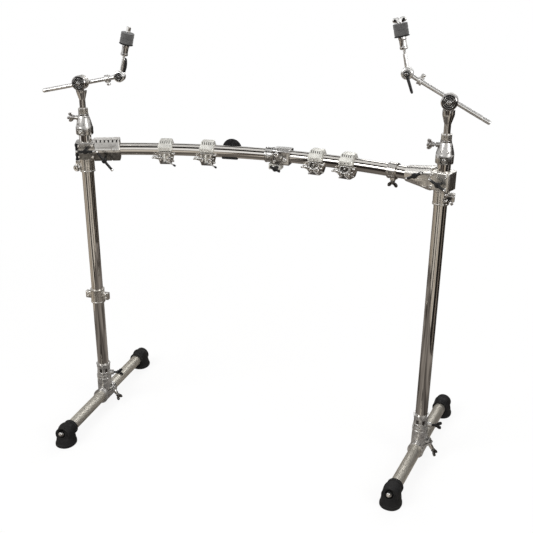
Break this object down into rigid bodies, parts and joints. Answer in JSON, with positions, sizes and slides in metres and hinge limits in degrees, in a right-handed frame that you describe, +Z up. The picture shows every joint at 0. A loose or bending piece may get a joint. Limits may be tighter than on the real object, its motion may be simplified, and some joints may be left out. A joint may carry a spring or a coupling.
{
  "type": "drum rack frame",
  "caption": "Free-standing drum rack frame: round tube uprights on T feet, a curved tube bar between them with clamps that slide along it, and a boom cymbal arm on each upright.",
  "frame": {"origin": "on the floor, under the middle of the rack's bounding box", "axes": "+X from the left upright to the right one as the player's side shows them, +Y away from the player towards the audience, +Z up"},
  "size_m": [1.3604, 0.6238, 1.36],
  "materials": {
    "tube": "polished",
    "foot_tube": "satin",
    "casting": "satin",
    "hardware": "polished",
    "black_metal": "satin",
    "rubber": "matte",
    "felt": "matte",
    "badge": "gloss"
  },
  "bodies": {
    "frame": {"curved_bar": "tube", "left_main_clamp": "casting", "right_main_clamp": "casting", "badge_disc": "badge"},
    "left_stop_collar": {"left_stop_collar": "casting"},
    "right_stop_collar": {"right_stop_collar": "casting"},
    "left_upright_handle": {"left_upright_handle": "black_metal"},
    "left_bar_handle": {"left_bar_handle": "black_metal"},
    "right_upright_handle": {"right_upright_handle": "black_metal"},
    "right_bar_handle": {"right_bar_handle": "black_metal"},
    "tom_clamp_1": {"tom_clamp_1_saddle": "casting"},
    "tom_clamp_1_jaw": {"tom_clamp_1_jaw": "casting"},
    "tom_clamp_1_bolt": {"tom_clamp_1_wing_bolt": "hardware"},
    "tom_clamp_2": {"tom_clamp_2_saddle": "casting"},
    "tom_clamp_2_jaw": {"tom_clamp_2_jaw": "casting"},
    "tom_clamp_2_bolt": {"tom_clamp_2_wing_bolt": "hardware"},
    "tom_clamp_3": {"tom_clamp_3_saddle": "casting"},
    "tom_clamp_3_jaw": {"tom_clamp_3_jaw": "casting"},
    "tom_clamp_3_bolt": {"tom_clamp_3_wing_bolt": "hardware"},
    "tom_clamp_4": {"tom_clamp_4_saddle": "casting"},
    "tom_clamp_4_jaw": {"tom_clamp_4_jaw": "casting"},
    "tom_clamp_4_bolt": {"tom_clamp_4_wing_bolt": "hardware"},
    "centre_clamp": {"centre_clamp_body": "casting"},
    "centre_clamp_jaw": {"centre_clamp_jaw": "hardware"},
    "centre_clamp_handle": {"centre_clamp_handle": "black_metal"},
    "bar_collar": {"bar_collar": "casting"},
    "bar_collar_bolt": {"bar_collar_bolt": "hardware"},
    "left_upright": {"left_upright": "tube"},
    "left_height_collar": {"left_height_collar": "casting"},
    "left_foot_casting": {"left_foot_casting": "casting"},
    "left_socket_bolt": {"left_socket_bolt": "black_metal"},
    "left_saddle_bolt": {"left_saddle_bolt": "hardware"},
    "left_foot": {"left_foot_tube": "foot_tube", "left_front_boot": "rubber", "left_rear_boot": "rubber"},
    "left_boom_adapter": {"left_boom_adapter": "casting"},
    "left_adapter_bolt": {"left_adapter_bolt": "hardware"},
    "left_boom_post": {"left_boom_post": "hardware"},
    "left_boom_tilter": {"left_boom_tilter": "hardware"},
    "left_boom_arm": {"left_boom_arm": "hardware"},
    "left_cymbal_stem": {"left_cymbal_stem": "hardware", "left_cymbal_felts": "felt"},
    "left_cymbal_lever": {"left_cymbal_lever": "black_metal"},
    "right_upright": {"right_upright": "tube"},
    "right_foot_casting": {"right_foot_casting": "casting"},
    "right_socket_bolt": {"right_socket_bolt": "black_metal"},
    "right_saddle_bolt": {"right_saddle_bolt": "hardware"},
    "right_foot": {"right_foot_tube": "foot_tube", "right_front_boot": "rubber", "right_rear_boot": "rubber"},
    "right_boom_adapter": {"right_boom_adapter": "casting"},
    "right_adapter_bolt": {"right_adapter_bolt": "hardware"},
    "right_boom_post": {"right_boom_post": "hardware"},
    "right_boom_tilter": {"right_boom_tilter": "hardware"},
    "right_boom_arm": {"right_boom_arm": "hardware"},
    "right_cymbal_stem": {"right_cymbal_stem": "hardware", "right_cymbal_felts": "felt"},
    "right_cymbal_nut": {"right_cymbal_wing_nut": "hardware"},
    "right_cymbal_lever": {"right_cymbal_lever": "black_metal"}
  },
  "joints": [
    {"name": "left_upright_slide", "type": "slide", "parent": "frame", "child": "left_upright", "axis": [0, 0, 1], "range_m": [-0.012, 0.38]},
    {"name": "right_upright_slide", "type": "slide", "parent": "frame", "child": "right_upright", "axis": [0, 0, 1], "range_m": [-0.012, 0.38]},
    {"name": "left_stop_collar_slide", "type": "slide", "parent": "frame", "child": "left_stop_collar", "axis": [0, 0, 1], "range_m": [-0.3, 0]},
    {"name": "right_stop_collar_slide", "type": "slide", "parent": "frame", "child": "right_stop_collar", "axis": [0, 0, 1], "range_m": [-0.3, 0]},
    {"name": "left_upright_handle_turn", "type": "hinge", "parent": "frame", "child": "left_upright_handle", "pos_m": [-0.53623, -0.02051, 0.929], "axis": [0.3665, -0.9304, 0], "continuous": true},
    {"name": "left_bar_handle_turn", "type": "hinge", "parent": "frame", "child": "left_bar_handle", "pos_m": [-0.4819, -0.00018, 0.902], "axis": [0.3665, -0.9304, 0], "continuous": true},
    {"name": "right_upright_handle_turn", "type": "hinge", "parent": "frame", "child": "right_upright_handle", "pos_m": [0.56576, -0.02454, 0.921], "axis": [-0.3665, -0.9304, 0], "continuous": true},
    {"name": "right_bar_handle_turn", "type": "hinge", "parent": "frame", "child": "right_bar_handle", "pos_m": [0.50492, -0.00165, 0.939], "axis": [-0.3665, -0.9304, 0], "continuous": true},
    {"name": "tom_clamp_1_travel", "type": "hinge", "parent": "frame", "child": "tom_clamp_1", "pos_m": [0.00965, -1.28786, 0.924], "axis": [0, 0, -1], "range_deg": [-3.68, 1.23]},
    {"name": "tom_clamp_1_open", "type": "slide", "parent": "tom_clamp_1", "child": "tom_clamp_1_jaw", "axis": [0, 0, -1], "range_m": [0, 0.008]},
    {"name": "tom_clamp_1_bolt_turn", "type": "hinge", "parent": "tom_clamp_1_jaw", "child": "tom_clamp_1_bolt", "pos_m": [-0.27682, 0.05822, 0.904], "axis": [-0.9742, -0.2259, 0], "continuous": true},
    {"name": "tom_clamp_2_travel", "type": "hinge", "parent": "frame", "child": "tom_clamp_2", "pos_m": [0.00965, -1.28786, 0.924], "axis": [0, 0, -1], "range_deg": [-1.23, 0.49]},
    {"name": "tom_clamp_2_open", "type": "slide", "parent": "tom_clamp_2", "child": "tom_clamp_2_jaw", "axis": [0, 0, -1], "range_m": [0, 0.008]},
    {"name": "tom_clamp_2_bolt_turn", "type": "hinge", "parent": "tom_clamp_2_jaw", "child": "tom_clamp_2_bolt", "pos_m": [-0.14638, 0.0795, 0.904], "axis": [-0.9913, -0.1314, 0], "continuous": true},
    {"name": "tom_clamp_3_travel", "type": "hinge", "parent": "frame", "child": "tom_clamp_3", "pos_m": [0.00965, -1.28786, 0.924], "axis": [0, 0, -1], "range_deg": [-0.7, 0.53]},
    {"name": "tom_clamp_3_open", "type": "slide", "parent": "tom_clamp_3", "child": "tom_clamp_3_jaw", "axis": [0, 0, -1], "range_m": [0, 0.008]},
    {"name": "tom_clamp_3_bolt_turn", "type": "hinge", "parent": "tom_clamp_3_jaw", "child": "tom_clamp_3_bolt", "pos_m": [0.20114, 0.07498, 0.904], "axis": [-0.9926, 0.1211, 0], "continuous": true},
    {"name": "tom_clamp_4_travel", "type": "hinge", "parent": "frame", "child": "tom_clamp_4", "pos_m": [0.00965, -1.28786, 0.924], "axis": [0, 0, -1], "range_deg": [-0.53, 1.96]},
    {"name": "tom_clamp_4_open", "type": "slide", "parent": "tom_clamp_4", "child": "tom_clamp_4_jaw", "axis": [0, 0, -1], "range_m": [0, 0.008]},
    {"name": "tom_clamp_4_bolt_turn", "type": "hinge", "parent": "tom_clamp_4_jaw", "child": "tom_clamp_4_bolt", "pos_m": [0.29887, 0.05763, 0.904], "axis": [-0.9813, 0.1924, 0], "continuous": true},
    {"name": "centre_clamp_travel", "type": "hinge", "parent": "frame", "child": "centre_clamp", "pos_m": [0.00965, -1.28786, 0.924], "axis": [0, 0, -1], "range_deg": [-3.27, 0.7]},
    {"name": "centre_clamp_open", "type": "slide", "parent": "centre_clamp", "child": "centre_clamp_jaw", "axis": [0, 0, -1], "range_m": [0, 0.008]},
    {"name": "centre_clamp_handle_turn", "type": "hinge", "parent": "centre_clamp_jaw", "child": "centre_clamp_handle", "pos_m": [0.05472, 0.10147, 0.8907], "axis": [-0.0418, -0.9991, 0], "continuous": true},
    {"name": "bar_collar_travel", "type": "hinge", "parent": "frame", "child": "bar_collar", "pos_m": [0.00965, -1.28786, 0.924], "axis": [0, 0, -1], "range_deg": [-1.96, 1.06]},
    {"name": "bar_collar_bolt_turn", "type": "hinge", "parent": "bar_collar", "child": "bar_collar_bolt", "pos_m": [0.41932, 0.05086, 0.90405], "axis": [0, 0, -1], "continuous": true},
    {"name": "left_height_collar_slide", "type": "slide", "parent": "left_upright", "child": "left_height_collar", "axis": [0, 0, 1], "range_m": [-0.22, 0.02]},
    {"name": "left_foot_swivel", "type": "hinge", "parent": "left_upright", "child": "left_foot_casting", "pos_m": [-0.54635, -0.003, 0.1], "axis": [0, 0, 1], "range_deg": [-80, 80]},
    {"name": "left_socket_bolt_turn", "type": "hinge", "parent": "left_foot_casting", "child": "left_socket_bolt", "pos_m": [-0.528, 0.00314, 0.118], "axis": [0.9483, 0.3173, 0], "continuous": true},
    {"name": "left_saddle_bolt_turn", "type": "hinge", "parent": "left_foot_casting", "child": "left_saddle_bolt", "pos_m": [-0.52093, -0.00366, 0.06819], "axis": [0.5734, -0.015, -0.8192], "continuous": true},
    {"name": "left_foot_slide", "type": "slide", "parent": "left_foot_casting", "child": "left_foot", "axis": [0.0262, 0.9997, 0], "range_m": [-0.103, 0.097]},
    {"name": "left_boom_swivel", "type": "hinge", "parent": "left_upright", "child": "left_boom_adapter", "pos_m": [-0.54635, -0.003, 1], "axis": [0, 0, 1], "continuous": true},
    {"name": "left_adapter_bolt_turn", "type": "hinge", "parent": "left_boom_adapter", "child": "left_adapter_bolt", "pos_m": [-0.55615, -0.003, 1.0234], "axis": [-1, 0, 0], "continuous": true},
    {"name": "left_post_slide", "type": "slide", "parent": "left_boom_adapter", "child": "left_boom_post", "axis": [0, 0, 1], "range_m": [0, 0.11]},
    {"name": "left_boom_tilt", "type": "hinge", "parent": "left_boom_post", "child": "left_boom_tilter", "pos_m": [-0.54635, -0.003, 1.1334], "axis": [0.0872, -0.9962, 0], "range_deg": [-42, 38]},
    {"name": "left_boom_slide", "type": "slide", "parent": "left_boom_tilter", "child": "left_boom_arm", "axis": [0.9744, 0.0853, 0.2079], "range_m": [-0.04, 0.085]},
    {"name": "left_cymbal_tilt", "type": "hinge", "parent": "left_boom_arm", "child": "left_cymbal_stem", "pos_m": [-0.42411, 0.02336, 1.15568], "axis": [-0.0872, 0.9962, 0], "range_deg": [-60, 60]},
    {"name": "left_cymbal_lever_turn", "type": "hinge", "parent": "left_cymbal_stem", "child": "left_cymbal_lever", "pos_m": [-0.42466, 0.02963, 1.15568], "axis": [-0.0872, 0.9962, 0], "range_deg": [-60, 60]},
    {"name": "right_foot_swivel", "type": "hinge", "parent": "right_upright", "child": "right_foot_casting", "pos_m": [0.56565, -0.003, 0.1], "axis": [0, 0, 1], "range_deg": [-80, 80]},
    {"name": "right_socket_bolt_turn", "type": "hinge", "parent": "right_foot_casting", "child": "right_socket_bolt", "pos_m": [0.5847, 0.00036, 0.118], "axis": [0.9848, 0.1736, 0], "continuous": true},
    {"name": "right_saddle_bolt_turn", "type": "hinge", "parent": "right_foot_casting", "child": "right_saddle_bolt", "pos_m": [0.59069, -0.00742, 0.06819], "axis": [0.5649, -0.0996, -0.8192], "continuous": true},
    {"name": "right_foot_slide", "type": "slide", "parent": "right_foot_casting", "child": "right_foot", "axis": [0.1736, 0.9848, 0], "range_m": [-0.105, 0.095]},
    {"name": "right_boom_swivel", "type": "hinge", "parent": "right_upright", "child": "right_boom_adapter", "pos_m": [0.56565, -0.003, 1], "axis": [0, 0, 1], "continuous": true},
    {"name": "right_adapter_bolt_turn", "type": "hinge", "parent": "right_boom_adapter", "child": "right_adapter_bolt", "pos_m": [0.55585, -0.003, 1.0234], "axis": [-1, 0, 0], "continuous": true},
    {"name": "right_post_slide", "type": "slide", "parent": "right_boom_adapter", "child": "right_boom_post", "axis": [0, 0, 1], "range_m": [0, 0.11]},
    {"name": "right_boom_tilt", "type": "hinge", "parent": "right_boom_post", "child": "right_boom_tilter", "pos_m": [0.56565, -0.003, 1.1444], "axis": [0, 1, 0], "range_deg": [-57, 22]},
    {"name": "right_boom_slide", "type": "slide", "parent": "right_boom_tilter", "child": "right_boom_arm", "axis": [-0.8854, 0, 0.4648], "range_m": [-0.04, 0.085]},
    {"name": "right_cymbal_tilt", "type": "hinge", "parent": "right_boom_arm", "child": "right_cymbal_stem", "pos_m": [0.44532, 0.0126, 1.21209], "axis": [0, -1, 0], "range_deg": [-60, 60]},
    {"name": "right_cymbal_nut_turn", "type": "hinge", "parent": "right_cymbal_stem", "child": "right_cymbal_nut", "pos_m": [0.41549, 0.0126, 1.34129], "axis": [-0.225, 0, 0.9744], "continuous": true},
    {"name": "right_cymbal_lever_turn", "type": "hinge", "parent": "right_boom_arm", "child": "right_cymbal_lever", "pos_m": [0.44532, -0.0073, 1.21209], "axis": [0, -1, 0], "range_deg": [-60, 60]}
  ],
  "couplings": [
    {"joint": "right_upright_slide", "follows": "left_upright_slide", "ratio": 1}
  ]
}
